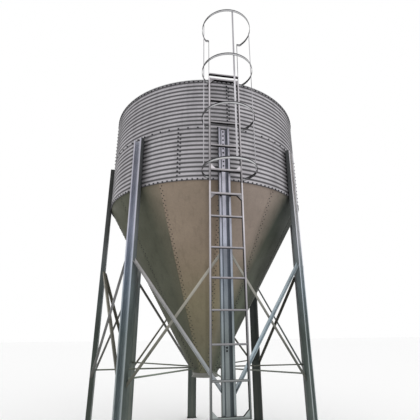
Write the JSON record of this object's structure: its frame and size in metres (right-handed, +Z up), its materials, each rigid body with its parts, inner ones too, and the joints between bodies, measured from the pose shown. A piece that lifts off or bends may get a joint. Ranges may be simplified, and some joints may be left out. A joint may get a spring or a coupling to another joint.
{
  "type": "grain silo",
  "caption": "Galvanised grain silo: corrugated tank with cone roof and steep cone hopper, on braced legs, with a caged ladder up the front.",
  "frame": {"origin": "on the ground, under the middle of the whole silo with its cage; the tank's axis stands 0.353 m behind it", "axes": "+Z up; -Y to the front, where the ladder and its cage are; +X to the right as seen from the front"},
  "size_m": [3.8426, 4.5488, 6.845],
  "materials": {
    "wall": "weathered galvanised sheet",
    "hopper": "dull galvanised sheet",
    "roof": "weathered galvanised sheet",
    "legs": "galvanised channel",
    "braces": "galvanised angle",
    "ladder": "galvanised fold and flat bar"
  },
  "bodies": {
    "root": {"wall_ring_lower": "wall", "wall_ring_upper": "wall", "hopper_cone": "hopper", "outlet_collar": "hopper", "roof_cone": "roof", "filler_neck": "roof", "filler_lid": "roof", "leg_front": "legs", "leg_front_right": "legs", "leg_right": "legs", "leg_back_right": "legs", "leg_back": "legs", "leg_back_left": "legs", "leg_left": "legs", "leg_front_left": "legs", "brace_outer_1": "braces", "brace_outer_2": "braces", "brace_outer_3": "braces", "brace_outer_4": "braces", "brace_outer_5": "braces", "brace_outer_6": "braces", "brace_outer_7": "braces", "brace_outer_8": "braces", "brace_inner_1": "braces", "brace_inner_2": "braces", "brace_inner_3": "braces", "brace_inner_4": "braces", "brace_inner_5": "braces", "brace_inner_6": "braces", "brace_inner_7": "braces", "brace_inner_8": "braces", "tie_front": "braces", "tie_front_right": "braces", "tie_right": "braces", "tie_back_right": "braces", "tie_back": "braces", "tie_back_left": "braces", "tie_left": "braces", "tie_front_left": "braces", "ladder_lower": "ladder", "ladder_upper": "ladder", "cage_hoop_1": "ladder", "cage_hoop_2": "ladder", "cage_hoop_3": "ladder", "cage_hoop_4": "ladder", "cage_strap_left": "ladder", "cage_strap_front": "ladder", "cage_strap_right": "ladder"}
  },
  "joints": []
}
